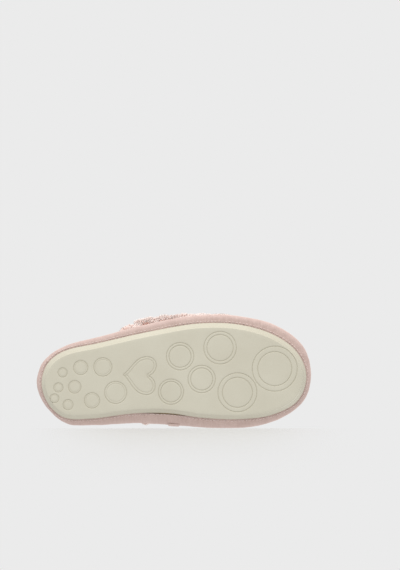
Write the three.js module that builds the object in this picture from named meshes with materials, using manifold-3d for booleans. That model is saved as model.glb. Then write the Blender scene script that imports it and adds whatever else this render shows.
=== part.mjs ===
// Open-back house slipper for the right foot: a moulded outsole with ring recesses, a foam
// footbed bound all round with a soft tape, a plush vamp over the forefoot and a fabric bow.
// Millimetres. +Z is up, the toe points along -Y and the outer side of the foot is -X.
// The origin is on the ground under the middle of the slipper.
import * as THREE from "three";
import { mergeVertices } from "three/addons/utils/BufferGeometryUtils.js";
import Module from "manifold-3d";

const wasm = await Module();
wasm.setup();

// ---- Driving dimensions -------------------------------------------------------------------
const FOOTBED_LENGTH = 263; // heel to toe over the bound edge
const FOOTBED_WIDTH = 110; // widest, across the ball
const END_OVERHANG = 5; // of the footbed past the outsole's upper edge, at heel and toe
const SIDE_OVERHANG = 8; // the same at the sides
const GAP = 0.3; // between neighbouring pieces

const OUTSOLE_RIM = 8.4; // height of the outsole's upper edge
const TREAD_INSET = 4.8; // from the outsole's upper edge in to the tread face
const TREAD_BEVEL = 0.8; // at the tread face's edge
const WELT_HEIGHT = 2.6; // height of the fine line round the outsole's side
const WELT_STEP = 0.8; // how far the side steps in above that line
const RECESS_DEPTH = 0.8; // of the rings and the heart

const TAPE = 0.8; // binding tape's thickness
const TAPE_FLANGE = 11; // how far the tape reaches in over and under the footbed
const TAPE_JOIN = 10; // length of the tape's lapped end
const EDGE_ROUND = 3.2; // radius of the footbed's bound edge
const BOARD = 1.2;
const MIDSOLE = 3.4;
const COMFORT = 1.5;
const SOCK = 1.5;
const THREAD = 0.8; // seam thread's thickness
const SEAM_OUT = 1; // from the outsole's edge out to the seam

const PLUSH = 4.4; // plush fabric with its pile pressed down
const INTERLINING = 1.8;
const LINING = 1.6;
const VAMP_INSET = 2.2; // from the bound edge in to the plush
const BULGE_OUTER = 22; // how far the rib's handle leans out at the throat's outer end
const BULGE_INNER = 10; // the same at its inner end
const BULGE_TOE = 3; // the same at the toe
const THROAT_HEIGHT = 64; // plush surface above the footbed at the top of the throat
const VAMP_LENGTH = 123.5; // from the toe's tip back to the throat's top
const WING_OUTER = 171.5; // from the toe's tip back to the throat's outer end
const WING_INNER = 159.5; // the same to its inner end
const THROAT_TRIM = 6; // thickness of the rolled trim round the throat
const TOE_LEAN = 3; // how far to the inner side of the middle that turn is
const TOE_HEIGHT = 19; // plush surface above the footbed where the vamp turns down
const TOE_TURN = 24.5; // from the toe's tip back to where the vamp turns down

const BOW_BACK = 82.5; // from the toe's tip back to the knot's middle
const BOW_FABRIC = 1.2;
const BOW_CLEAR = 0.6; // between the plush and the bow
const LOOP_LENGTH = 40;
const LOOP_WIDTH = 27;
const LOOP_THICK = 8; // over both layers of a loop
const TAIL_LENGTH = 50;
const TAIL_WIDTH = 20;
const KNOT_LENGTH = 15; // along the foot
const KNOT_WIDTH = 11; // across the foot
const KNOT_THICK = 9;

// ---- Steps along curved surfaces ----------------------------------------------------------
const LOOP_STEPS = 60;
const ROUND_STEPS = 3; // in a quarter turn of the bound edge
const VAMP_STATIONS = 15; // throat to toe
const RIB_STEPS = 7; // footbed to the top of the vamp

// ---- Places along the slipper, forward of its middle ----------------------------------------
const toeTip = FOOTBED_LENGTH / 2;
const throatTop = toeTip - VAMP_LENGTH;
const toeTurn = toeTip - TOE_TURN;
const outsoleLength = FOOTBED_LENGTH - 2 * END_OVERHANG;
const outsoleWidth = FOOTBED_WIDTH - 2 * SIDE_OVERHANG;

// ---- Heights, from the ground up ----------------------------------------------------------
const coreLow = OUTSOLE_RIM + GAP + TAPE;
const boardLow = coreLow + GAP;
const midsoleLow = boardLow + BOARD + GAP;
const comfortLow = midsoleLow + MIDSOLE + GAP;
const sockLow = comfortLow + COMFORT + GAP;
const coreHigh = sockLow + SOCK + GAP;
const vampLow = coreHigh + TAPE + GAP;

// ---- Outlines -----------------------------------------------------------------------------
// Each is a closed smooth curve through [forward, outward] points, drawn for one length and
// width and stretched to the slipper's own. Forward is towards the toe.
const FOOTBED = {
  length: 263,
  width: 110,
  points: [
    [-131.5, 0], [-124, 21], [-104, 34], [-67, 41.5], [-19, 50.5], [25, 55], [67, 51.5],
    [104, 38.5], [126, 18], [131.5, -6], [124, -32], [103, -47.5], [74, -55], [36, -54],
    [0, -49], [-40, -44], [-83, -43], [-106, -39.5], [-124, -22],
  ],
};
const OUTSOLE = {
  length: 253,
  width: 94,
  points: [
    [-126.5, 0], [-119.5, 19], [-104, 29.5], [-68, 35.5], [-19, 43], [28, 47.3], [66, 43.5],
    [99, 31], [119.5, 13], [126.5, -10], [117, -32.5], [92, -44.5], [60, -46.7], [22, -42.5],
    [-6, -36.5], [-40, -34.2], [-82, -36.3], [-107, -33.5], [-121, -20],
  ],
};

// A [forward, outward] place drawn on an outline, on a slipper of another length and width.
function stretched([forward, outward], drawn, length, width) {
  return new THREE.Vector3(
    (-outward * width) / drawn.width, (-forward * length) / drawn.length, 0,
  );
}

function outline(drawn, length, width) {
  const places = drawn.points.map((point) => stretched(point, drawn, length, width));
  return new THREE.CatmullRomCurve3(places, true, "centripetal");
}

const outward = (before, after) =>
  new THREE.Vector3(after.y - before.y, before.x - after.x, 0).normalize();

// A loop moved inwards by a distance and set at a height.
function ringAt(loop, inset, height) {
  return loop.map((point, i) => {
    const before = loop[(i + loop.length - 1) % loop.length];
    const after = loop[(i + 1) % loop.length];
    return point.clone().addScaledVector(outward(before, after), -inset).setZ(height);
  });
}

const footbedCurve = outline(FOOTBED, FOOTBED_LENGTH, FOOTBED_WIDTH);
const footbedLoop = footbedCurve.getSpacedPoints(LOOP_STEPS).slice(0, LOOP_STEPS);
const outsoleCurve = outline(OUTSOLE, outsoleLength, outsoleWidth);
const outsoleLoop = outsoleCurve.getSpacedPoints(LOOP_STEPS).slice(0, LOOP_STEPS);

// ---- Solids from surfaces -----------------------------------------------------------------
// Welds the corners of a list of triangles, drops the triangles without area and turns the
// faces outwards.
function closedGeometry(corners) {
  const loose = new THREE.BufferGeometry().setFromPoints(corners);
  const welded = mergeVertices(loose, 1e-3);
  const position = welded.getAttribute("position");
  const at = (i) => new THREE.Vector3().fromBufferAttribute(position, i);
  const index = [];
  let volume = 0;
  for (let i = 0; i < welded.index.count; i += 3) {
    const [a, b, c] = [0, 1, 2].map((k) => welded.index.getX(i + k));
    if (a === b || b === c || c === a) continue;
    index.push(a, b, c);
    volume += at(a).dot(at(b).cross(at(c)));
  }
  if (volume < 0) index.reverse();
  welded.setIndex(index);
  return welded;
}

function quad(corners, a, b, c, d) {
  corners.push(a, b, c, a, c, d);
}

// A band of faces between neighbouring closed rows of points.
function band(corners, lower, upper) {
  lower.forEach((point, i) => {
    const next = (i + 1) % lower.length;
    quad(corners, point, lower[next], upper[next], upper[i]);
  });
}

function cap(corners, loop, upwards) {
  for (const face of THREE.ShapeUtils.triangulateShape(loop, [])) {
    const [a, b, c] = face.map((i) => loop[i]);
    const facesUp = b.clone().sub(a).cross(c.clone().sub(a)).z > 0;
    corners.push(a, ...(facesUp === upwards ? [b, c] : [c, b]));
  }
}

// A solid through closed rows of points, one above the other, with flat ends.
function loft(rows) {
  const corners = [];
  rows.slice(1).forEach((upper, k) => band(corners, rows[k], upper));
  cap(corners, rows[0], false);
  cap(corners, rows[rows.length - 1], true);
  return closedGeometry(corners);
}

// A closed profile of [inset, height] points carried all the way round a loop.
function sweptRing(loop, profile) {
  const rows = profile.map(([inset, height]) => ringAt(loop, inset, height));
  const corners = [];
  rows.forEach((row, k) => band(corners, row, rows[(k + 1) % rows.length]));
  return closedGeometry(corners);
}

// The skin of a bent slab. place(u, v, w) gives the point at the slab's own coordinates,
// from 0 to 1: u and v run in steps and w is its thickness.
function bentSlab(place, uSteps, vSteps) {
  const corners = [];
  const at = (i, j, w) => place(i / uSteps, j / vSteps, w);
  for (let i = 0; i < uSteps; i += 1) {
    for (let j = 0; j < vSteps; j += 1) {
      quad(corners, at(i, j, 1), at(i + 1, j, 1), at(i + 1, j + 1, 1), at(i, j + 1, 1));
      quad(corners, at(i, j, 0), at(i, j + 1, 0), at(i + 1, j + 1, 0), at(i + 1, j, 0));
    }
    quad(corners, at(i, 0, 0), at(i + 1, 0, 0), at(i + 1, 0, 1), at(i, 0, 1));
    quad(
      corners, at(i, vSteps, 0), at(i, vSteps, 1), at(i + 1, vSteps, 1), at(i + 1, vSteps, 0),
    );
  }
  for (let j = 0; j < vSteps; j += 1) {
    quad(corners, at(0, j, 0), at(0, j, 1), at(0, j + 1, 1), at(0, j + 1, 0));
    quad(
      corners, at(uSteps, j, 0), at(uSteps, j + 1, 0), at(uSteps, j + 1, 1), at(uSteps, j, 1),
    );
  }
  return closedGeometry(corners);
}

// An extruded shape as one closed skin.
function extruded(shape, settings) {
  const geometry = new THREE.ExtrudeGeometry(shape, { bevelEnabled: false, ...settings });
  const position = geometry.getAttribute("position");
  const corners = [...Array(position.count).keys()].map((i) =>
    new THREE.Vector3().fromBufferAttribute(position, i),
  );
  return closedGeometry(corners);
}

// ---- Cuts ---------------------------------------------------------------------------------
function solidOf(geometry) {
  return new wasm.Manifold(
    new wasm.Mesh({
      numProp: 3,
      vertProperties: geometry.getAttribute("position").array,
      triVerts: new Uint32Array(geometry.index.array),
    }),
  );
}

function geometryOf(solid) {
  const mesh = solid.getMesh();
  return new THREE.BufferGeometry()
    .setAttribute("position", new THREE.BufferAttribute(mesh.vertProperties, 3))
    .setIndex(new THREE.BufferAttribute(mesh.triVerts, 1));
}

// ---- Outsole ------------------------------------------------------------------------------
// Rings on the tread as drawn on the outsole: [forward, outward, outer radius, inner radius].
const RINGS = [
  [-105, 10, 4.4, 3.2], [-110, -4, 4.4, 3.2], [-114.5, -14, 4.2, 3], [-102, -21, 4.8, 3.5],
  [-94.5, -4.5, 6, 4.7], [-87.5, 13.5, 6.8, 5.4], [-79, -18.5, 7.3, 5.9], [-66.5, 12.5, 8.7, 7.1],
  [-56, -12.5, 10.5, 8.7], [-3.5, -15.5, 12, 9.8], [7.5, 17.5, 13, 10.5], [26.5, -5.5, 13, 10.5],
  [46, 23, 15.5, 12.5], [59.5, -20.5, 18.5, 14.3], [96.5, -0.5, 21.4, 16.2],
];
const HEART = { tip: [-47.5, 4], length: 31, width: 36, turn: 0.12, line: 2.2 };

const onTread = (place) => stretched(place, OUTSOLE, outsoleLength, outsoleWidth);
// The rings and the heart keep their shape and take the smaller of the outsole's two stretches.
const patternScale = Math.min(outsoleLength / OUTSOLE.length, outsoleWidth / OUTSOLE.width);

// A recess of a shape's own outline, set at a place on the tread.
function recess(shape, curveSegments, place, turn = 0) {
  const { x, y } = onTread(place);
  return extruded(shape, { depth: 2 * RECESS_DEPTH, curveSegments })
    .scale(patternScale, patternScale, 1)
    .rotateZ(turn)
    .translate(x, y, -RECESS_DEPTH);
}

function ringRecess([forward, across, outerRadius, innerRadius]) {
  const ring = new THREE.Shape().absarc(0, 0, outerRadius, 0, 2 * Math.PI, false);
  ring.holes.push(new THREE.Path().absarc(0, 0, innerRadius, 0, 2 * Math.PI, true));
  return recess(ring, outerRadius > 8 ? 14 : 9, [forward, across]);
}

// A heart with its tip at the origin and its lobes along +X, cut as a line of even width.
function heartRecess() {
  const { tip, length, width, turn, line } = HEART;
  const half = width / 2;
  const heart = new THREE.Shape().moveTo(0, 0);
  heart.bezierCurveTo(length * 0.25, -half * 0.35, length * 0.35, -half, length * 0.72, -half);
  heart.bezierCurveTo(length * 1.05, -half, length * 1.1, -half * 0.25, length * 0.78, 0);
  heart.bezierCurveTo(length * 1.1, half * 0.25, length * 1.05, half, length * 0.72, half);
  heart.bezierCurveTo(length * 0.35, half, length * 0.25, half * 0.35, 0, 0);
  const edge = heart.getPoints(5).slice(0, -1);
  const inside = ringAt(edge.map((p) => new THREE.Vector3(p.x, p.y, 0)), line, 0);
  const shape = new THREE.Shape(edge);
  shape.holes.push(new THREE.Path(inside.map((p) => new THREE.Vector2(p.x, p.y))));
  return recess(shape, 1, tip, turn - Math.PI / 2);
}

function outsole() {
  const aboveWelt = TREAD_INSET - 2 * TREAD_BEVEL + WELT_STEP;
  let solid = solidOf(
    loft([
      ringAt(outsoleLoop, TREAD_INSET, 0),
      ringAt(outsoleLoop, TREAD_INSET - TREAD_BEVEL, TREAD_BEVEL),
      ringAt(outsoleLoop, TREAD_INSET - 2 * TREAD_BEVEL, WELT_HEIGHT),
      ringAt(outsoleLoop, aboveWelt, WELT_HEIGHT + WELT_STEP / 2),
      ringAt(outsoleLoop, 0, OUTSOLE_RIM - TREAD_BEVEL),
      ringAt(outsoleLoop, 0, OUTSOLE_RIM),
      ringAt(footbedLoop, TAPE_FLANGE + GAP, OUTSOLE_RIM),
      ringAt(footbedLoop, TAPE_FLANGE + GAP, coreLow),
    ]),
  );
  for (const ring of RINGS) solid = solid.subtract(solidOf(ringRecess(ring)));
  return geometryOf(solid.subtract(solidOf(heartRecess())));
}

// ---- Footbed and binding ------------------------------------------------------------------
// How far the rounded edge of the footbed's core draws in at a height. It keeps the gap to the
// tape all round the bend.
function edgeInset(height) {
  const radius = EDGE_ROUND - GAP;
  const nearest = Math.min(height - coreLow, coreHigh - height);
  const below = Math.min(Math.max(EDGE_ROUND - nearest, 0), radius);
  return radius - Math.sqrt(radius ** 2 - below ** 2);
}

function layer(low, thickness) {
  const rows = [low, low + thickness / 2, low + thickness];
  return loft(rows.map((z) => ringAt(footbedLoop, TAPE + GAP + edgeInset(z), z)));
}

// Down the tape's outer side or its inner side, from its upper flange to its lower one.
function tapeSide(inset) {
  const radius = EDGE_ROUND + TAPE - inset;
  const quarter = [...Array(ROUND_STEPS + 1).keys()].map((i) => (i * Math.PI) / 2 / ROUND_STEPS);
  const upper = quarter.map((turn) => [
    inset + radius * (1 - Math.sin(turn)),
    coreHigh - EDGE_ROUND + radius * Math.cos(turn),
  ]);
  const lower = quarter.map((turn) => [
    inset + radius * (1 - Math.cos(turn)),
    coreLow + EDGE_ROUND - radius * Math.sin(turn),
  ]);
  return [...upper, ...lower];
}

function binding() {
  return sweptRing(footbedLoop, [
    [TAPE_FLANGE, coreHigh + TAPE], ...tapeSide(0), [TAPE_FLANGE, coreLow - TAPE],
    [TAPE_FLANGE, coreLow], ...tapeSide(TAPE).reverse(), [TAPE_FLANGE, coreHigh],
  ]);
}

// The tape's end, lapped over its start on the inner side, in front of the arch.
function bindingLap() {
  const inner = footbedLoop.filter((p) => p.x > 0);
  const start = inner.reduce((best, p) => (Math.abs(p.y) < Math.abs(best.y) ? p : best));
  const end = inner[inner.indexOf(start) + 1];
  const away = outward(start, end);
  const along = end.clone().sub(start).normalize();
  const side = tapeSide(0).slice(2, -1);
  const middle = (coreLow + coreHigh) / 2;
  return bentSlab(
    (u, v, w) => {
      const [inset, height] = side[Math.round(v * (side.length - 1))];
      const turn = Math.atan2(height - middle, EDGE_ROUND + TAPE - inset);
      const lift = GAP + w * TAPE;
      return start
        .clone()
        .addScaledVector(along, u * TAPE_JOIN)
        .addScaledVector(away, lift * Math.cos(turn) - inset)
        .setZ(height + lift * Math.sin(turn));
    },
    1,
    side.length - 1,
  );
}

function seam() {
  const half = THREAD / 2;
  const height = coreLow - TAPE - GAP - half;
  return sweptRing(outsoleLoop, [
    [-SEAM_OUT - half, height], [-SEAM_OUT, height + half],
    [-SEAM_OUT + half, height], [-SEAM_OUT, height - half],
  ]);
}

// ---- Vamp ---------------------------------------------------------------------------------
// Shares of a rib's reach or rise, which shape it between its top and its foot.
const CROWN = 0.6; // how far out the rib stays level
const FLANK = 0.5; // how high the rib stays upright
const SWEEP = 0.25; // how far the throat's ribs lean forward at the flank

const HALVINGS = 20; // of the stretch in which a place along the footbed is found

// Where along the footbed's edge, which runs from the heel over the outer side to the toe and
// back over the inner side, a distance forward of the middle is reached.
function alongFootbed(forward, [heelEnd, toeEnd]) {
  let [behind, ahead] = [heelEnd, toeEnd];
  for (let i = 0; i < HALVINGS; i += 1) {
    const middle = (behind + ahead) / 2;
    if (-footbedCurve.getPointAt(middle).y < forward) behind = middle;
    else ahead = middle;
  }
  return behind;
}

const outerEnd = alongFootbed(toeTip - WING_OUTER, [0, 0.5]);
const innerEnd = alongFootbed(toeTip - WING_INNER, [1, 0.5]);

// Where a surface of the vamp meets the footbed, from 0 at the outer end of the throat round
// the toe to 1 at its inner end.
function vampFoot(round, inset) {
  const place = outerEnd + (innerEnd - outerEnd) * round;
  const ahead = footbedCurve.getTangentAt(place);
  const away = new THREE.Vector3(ahead.y, -ahead.x, 0);
  return footbedCurve.getPointAt(place).addScaledVector(away, -inset).setZ(vampLow);
}

const spineRun = toeTurn - throatTop;
const spineSlope = (THROAT_HEIGHT - TOE_HEIGHT) / spineRun;
const spine = new THREE.LineCurve3(
  new THREE.Vector3(0, -throatTop, vampLow + THROAT_HEIGHT),
  new THREE.Vector3(TOE_LEAN, -toeTurn, vampLow + TOE_HEIGHT),
);

// A point on the vamp at a depth under the plush's surface. The station runs from 0 at the
// throat to 1 at the toe. The drop runs from 0 at the top to 1 at the footbed on the inner
// side, and to -1 on the outer side.
function vampPoint(depth, station, drop) {
  const foot = vampFoot(drop < 0 ? station / 2 : 1 - station / 2, VAMP_INSET + depth);
  const top = spine.getPoint(station);
  top.z -= depth;
  const rise = top.z - foot.z;
  const reach = foot.clone().sub(top).setZ(0);
  const towardThroat = (1 - station) ** 2;
  const bulge = (drop < 0 ? BULGE_OUTER : BULGE_INNER) * towardThroat + BULGE_TOE;
  const lowHandle = foot.clone().addScaledVector(reach.clone().normalize(), bulge);
  lowHandle.y -= reach.y * towardThroat * SWEEP;
  lowHandle.z += rise * FLANK;
  const highHandle = top.clone();
  highHandle.x += reach.x * CROWN;
  highHandle.y += reach.y * CROWN * (1 - towardThroat);
  highHandle.z += (highHandle.y - top.y) * spineSlope;
  return new THREE.CubicBezierCurve3(top, highHandle, lowHandle, foot).getPoint(Math.abs(drop));
}

// One layer of the vamp, from its outer face in to its inner face.
function vampLayer(depth, thickness) {
  const side = (sign) =>
    [...Array(RIB_STEPS + 1).keys()].map((j) => (sign * j) / RIB_STEPS);
  const across = [...side(-1).reverse(), ...side(1).slice(1)];
  const corners = [];
  const at = (i, j, w) => vampPoint(depth + thickness * w, i / VAMP_STATIONS, across[j]);
  const last = across.length - 1;
  for (let i = 0; i < VAMP_STATIONS; i += 1) {
    for (let j = 0; j < last; j += 1) {
      quad(corners, at(i, j, 0), at(i, j + 1, 0), at(i + 1, j + 1, 0), at(i + 1, j, 0));
      quad(corners, at(i, j, 1), at(i + 1, j, 1), at(i + 1, j + 1, 1), at(i, j + 1, 1));
    }
    quad(corners, at(i, 0, 0), at(i + 1, 0, 0), at(i + 1, 0, 1), at(i, 0, 1));
    quad(corners, at(i, last, 0), at(i, last, 1), at(i + 1, last, 1), at(i + 1, last, 0));
  }
  for (let j = 0; j < last; j += 1) {
    quad(corners, at(0, j, 0), at(0, j, 1), at(0, j + 1, 1), at(0, j + 1, 0));
  }
  return closedGeometry(corners);
}

const TRIM_REACH = 0.97; // how far down the throat's sides the trim goes, as a share
const TRIM_CLEAR = 4 * GAP; // from the edges of the vamp's layers
const TRIM_SIDES = 8; // of each half of the trim's section

// The rolled trim that finishes the throat, just behind the edges of the vamp's layers.
function throatTrim() {
  const radius = THROAT_TRIM / 2;
  const middle = (PLUSH + INTERLINING + LINING) / 2 + GAP;
  const places = [...Array(4 * RIB_STEPS + 1).keys()];
  const drops = places.map((i) => (i / RIB_STEPS / 2 - 1) * TRIM_REACH);
  const path = drops.map((drop) => {
    const point = vampPoint(middle, 0, drop);
    const behind = point.clone().sub(vampPoint(middle, 1 / VAMP_STATIONS, drop)).normalize();
    return point.addScaledVector(behind, radius + TRIM_CLEAR);
  });
  const circle = new THREE.Shape().absarc(0, 0, radius, 0, 2 * Math.PI);
  return extruded(circle, {
    steps: 2 * RIB_STEPS,
    curveSegments: TRIM_SIDES,
    extrudePath: new THREE.CatmullRomCurve3(path),
  });
}

// ---- Bow ----------------------------------------------------------------------------------
const bowStation = (VAMP_LENGTH - BOW_BACK) / spineRun;
const stationPer = 1 / spine.getLength(); // of a millimetre along the foot
const RIB_PARTS = 8; // that the rib under the bow is measured in
const ribLength = (() => {
  const rib = [...Array(RIB_PARTS + 1).keys()].map((i) => vampPoint(0, bowStation, i / RIB_PARTS));
  return new THREE.CatmullRomCurve3(rib).getLength();
})();
const dropPer = 1 / ribLength; // of a millimetre down the vamp's side

const tailHeight = BOW_CLEAR;
const loopHeight = tailHeight + BOW_FABRIC + GAP;

// A slab lying over the plush. place(u, v) gives [millimetres forward of the knot's middle,
// millimetres to the side of it], and thickness(u, v) its thickness there.
function onVamp(place, height, thickness, uSteps, vSteps) {
  return bentSlab(
    (u, v, w) => {
      const [forward, across] = place(u, v);
      const depth = -(height + w * thickness(u, v));
      return vampPoint(depth, bowStation + forward * stationPer, across * dropPer);
    },
    uSteps,
    vSteps,
  );
}

const LOOP_WAIST = 0.55; // the loop's width at the knot, as a share of its full width
const LOOP_FLARE = 1.3; // how soon it reaches its full width
const LOOP_FLAT = 0.5; // its thickness at both ends, as a share of its full thickness
const TAIL_START = 2; // forward of the knot's middle, and to the side
const TAIL_FORWARD = 0.62; // share of the tail's length that runs forward
const TAIL_ASIDE = 0.72; // share that runs to the side
const TAIL_ACROSS = [0.6, 0.15]; // shares of its width that lie forward and to the side
const LEAF = [0.25, 0.68]; // where the tail's leaf shape starts and how much of it there is
const KNOT_EDGE = 0.7; // the knot's thickness at its edges, as a share

function bowLoop(side) {
  const start = KNOT_WIDTH / 2 + GAP;
  const widened = (u) => Math.sin((Math.min(u * LOOP_FLARE, 1) * Math.PI) / 2);
  const flare = (u) => LOOP_WAIST + (1 - LOOP_WAIST) * widened(u);
  return onVamp(
    (u, v) => [
      (v - 0.5) * LOOP_WIDTH * flare(u),
      side * (start + u * (LOOP_LENGTH - start)),
    ],
    loopHeight,
    (u) => LOOP_THICK * (LOOP_FLAT + (1 - LOOP_FLAT) * Math.sin(u * Math.PI)),
    5,
    4,
  );
}

function bowTail(side) {
  const leaf = (u) => Math.sin((LEAF[0] + LEAF[1] * u) * Math.PI);
  const [ahead, aside] = TAIL_ACROSS;
  return onVamp(
    (u, v) => [
      TAIL_START + u * TAIL_LENGTH * TAIL_FORWARD + (v - 0.5) * TAIL_WIDTH * leaf(u) * ahead,
      side * (TAIL_START + GAP + u * TAIL_LENGTH * TAIL_ASIDE
        + (0.5 - v) * TAIL_WIDTH * leaf(u) * aside),
    ],
    tailHeight,
    () => BOW_FABRIC,
    6,
    2,
  );
}

function bowKnot() {
  const crown = (share) => Math.sin(share * Math.PI);
  return onVamp(
    (u, v) => [(v - 0.5) * KNOT_LENGTH, (u - 0.5) * KNOT_WIDTH],
    loopHeight,
    (u, v) => KNOT_THICK * (KNOT_EDGE + (1 - KNOT_EDGE) * Math.min(crown(u), crown(v))),
    4,
    4,
  );
}

// ---- Assembly -----------------------------------------------------------------------------
const finish = (color, roughness) =>
  new THREE.MeshStandardMaterial({ color, roughness, metalness: 0 });

const rubber = finish("#cfcbb9", 0.62);
const suede = finish("#cfb4ac", 0.9);
const bowSuede = finish("#d5beb5", 0.88);
const pile = finish("#e2cdc4", 1);
const fleece = finish("#e6d3cb", 1);
const foam = finish("#efe9dc", 0.95);
const fibreboard = finish("#b9a483", 0.9);
const cotton = finish("#e9cfc8", 0.8);

const plushDepth = 0;
const interliningDepth = PLUSH + GAP;
const liningDepth = interliningDepth + INTERLINING + GAP;

const PIECES = [
  ["outsole", outsole(), rubber],
  ["insole_board", layer(boardLow, BOARD), fibreboard],
  ["midsole_foam", layer(midsoleLow, MIDSOLE), foam],
  ["comfort_foam", layer(comfortLow, COMFORT), foam],
  ["footbed_sock", layer(sockLow, SOCK), fleece],
  ["binding_tape", binding(), suede],
  ["binding_lap", bindingLap(), suede],
  ["binding_seam", seam(), cotton],
  ["vamp_plush", vampLayer(plushDepth, PLUSH), pile],
  ["vamp_interlining", vampLayer(interliningDepth, INTERLINING), foam],
  ["vamp_lining", vampLayer(liningDepth, LINING), fleece],
  ["throat_trim", throatTrim(), pile],
  ["bow_knot", bowKnot(), bowSuede],
  ["bow_loop_inner", bowLoop(1), bowSuede],
  ["bow_loop_outer", bowLoop(-1), bowSuede],
  ["bow_tail_inner", bowTail(1), bowSuede],
  ["bow_tail_outer", bowTail(-1), bowSuede],
];

const slipper = new THREE.Group();
for (const [name, geometry, material] of PIECES) {
  geometry.computeVertexNormals();
  const mesh = new THREE.Mesh(geometry, material);
  mesh.name = name;
  slipper.add(mesh);
}

// The origin goes on the ground under the middle of the slipper's own box.
const box = new THREE.Box3().setFromObject(slipper);
const middle = box.getCenter(new THREE.Vector3());
slipper.position.set(-middle.x, -middle.y, -box.min.z);
slipper.updateMatrixWorld();

export default slipper;
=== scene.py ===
"""Looks for the plush house slipper: padded footbed, bound edge, moulded sole, fur and bow.

Metres. The frame is the CAD model's: +Z up, toe along -Y, inner side of the foot +X.
"""
import math

import bmesh
import bpy
import numpy as np
from mathutils import Matrix, Vector, geometry, noise
from mathutils.bvhtree import BVHTree
from mathutils.kdtree import KDTree


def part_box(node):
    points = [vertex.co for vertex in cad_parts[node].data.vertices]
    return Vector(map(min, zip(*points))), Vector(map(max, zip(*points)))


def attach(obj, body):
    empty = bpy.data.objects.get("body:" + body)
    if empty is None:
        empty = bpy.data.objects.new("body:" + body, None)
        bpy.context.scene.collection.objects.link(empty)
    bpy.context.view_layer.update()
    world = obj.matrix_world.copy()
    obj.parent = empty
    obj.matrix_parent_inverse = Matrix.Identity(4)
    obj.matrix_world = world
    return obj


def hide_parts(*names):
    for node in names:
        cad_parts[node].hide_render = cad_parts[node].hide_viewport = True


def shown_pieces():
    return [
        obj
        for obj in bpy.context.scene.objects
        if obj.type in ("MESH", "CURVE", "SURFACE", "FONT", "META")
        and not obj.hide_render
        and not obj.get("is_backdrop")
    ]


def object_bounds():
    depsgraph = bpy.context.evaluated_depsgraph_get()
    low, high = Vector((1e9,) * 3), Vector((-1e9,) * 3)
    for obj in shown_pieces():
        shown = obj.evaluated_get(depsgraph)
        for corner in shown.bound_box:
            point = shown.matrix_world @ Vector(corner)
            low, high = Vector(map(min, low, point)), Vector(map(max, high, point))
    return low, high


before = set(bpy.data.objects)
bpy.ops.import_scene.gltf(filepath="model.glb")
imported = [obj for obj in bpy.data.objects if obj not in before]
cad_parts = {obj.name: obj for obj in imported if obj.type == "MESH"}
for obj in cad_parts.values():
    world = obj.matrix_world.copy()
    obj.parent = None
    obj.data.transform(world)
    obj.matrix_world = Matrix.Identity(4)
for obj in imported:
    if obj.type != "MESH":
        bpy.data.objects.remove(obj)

CAD_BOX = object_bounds()
MM = 0.001
RNG = np.random.default_rng(7)

# ---- Places read from the frame -----------------------------------------------------------
CURVE_STEPS = 24  # from one point of a drawn loop to the next
LEVEL_REACH = 0.05 * MM  # points this close to a height belong to the outline there


def mesh_points(mesh):
    """Every vertex of a mesh, as rows of metres."""
    flat = np.empty(len(mesh.vertices) * 3)
    mesh.vertices.foreach_get("co", flat)
    return flat.reshape(-1, 3)


def smooth_loop(points, count):
    """A closed Catmull-Rom curve through points, resampled at even steps."""
    points = np.asarray(points)
    before, after, beyond = (np.roll(points, shift, 0) for shift in (1, -1, -2))
    share = np.linspace(0, 1, CURVE_STEPS, endpoint=False)[:, None, None]
    curve = 0.5 * (
        2 * points
        + (after - before) * share
        + (2 * before - 5 * points + 4 * after - beyond) * share**2
        + (3 * points - before - 3 * after + beyond) * share**3
    )
    dense = curve.transpose(1, 0, 2).reshape(-1, points.shape[1])
    closed = np.vstack([dense, dense[:1]])
    run = np.concatenate([[0], np.cumsum(np.linalg.norm(np.diff(closed, axis=0), axis=1))])
    places = np.linspace(0, run[-1], count, endpoint=False)
    return np.stack([np.interp(places, run, closed[:, k]) for k in range(closed.shape[1])], 1)


def cad_loop(node, height, count):
    """The outline of a CAD node at a height, from the heel over the outer side to the toe."""
    points = mesh_points(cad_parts[node].data)
    level = points[np.abs(points[:, 2] - height) < LEVEL_REACH][:, :2]
    level = np.unique(np.round(level, 6), axis=0)
    turn = np.arctan2(-level[:, 0], level[:, 1]) % (2 * math.pi)
    return smooth_loop(level[np.argsort(turn)], count)


def outwards(loop):
    """The unit normals of a closed loop that runs anticlockwise seen from above."""
    ahead = np.roll(loop, -1, 0) - np.roll(loop, 1, 0)
    normal = np.stack([ahead[:, 1], -ahead[:, 0]], 1)
    return normal / np.linalg.norm(normal, axis=1)[:, None]


def inset(loop, distance):
    """A closed loop moved inwards by a distance."""
    return loop - outwards(loop) * distance


LOOP_COUNT = 420  # points round the footbed's and the outsole's outlines
tape_low, tape_high = (Vector(corner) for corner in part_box("binding_tape"))
foam_low, foam_high = (Vector(corner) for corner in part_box("midsole_foam"))
TAPE_OVER_FOAM = (tape_high.x - tape_low.x - foam_high.x + foam_low.x) / 2
foam_loop = cad_loop("midsole_foam", (foam_low.z + foam_high.z) / 2, LOOP_COUNT)
footbed_loop = inset(foam_loop, -TAPE_OVER_FOAM)
# The outsole's own sizes, as the CAD model has them.
OUTSOLE_RIM = 8.4 * MM
TREAD_BEVEL = 0.8 * MM
TREAD_INSET = 4.8 * MM
WELT_HEIGHT = 2.6 * MM
outsole_loop = cad_loop("outsole", OUTSOLE_RIM - TREAD_BEVEL, LOOP_COUNT)
sock_top = Vector(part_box("footbed_sock")[1]).z

# ---- Meshes -------------------------------------------------------------------------------


def placed(name, data):
    """A new object in the scene, from a mesh, a lamp or a camera."""
    obj = bpy.data.objects.new(name, data)
    bpy.context.scene.collection.objects.link(obj)
    return obj


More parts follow.
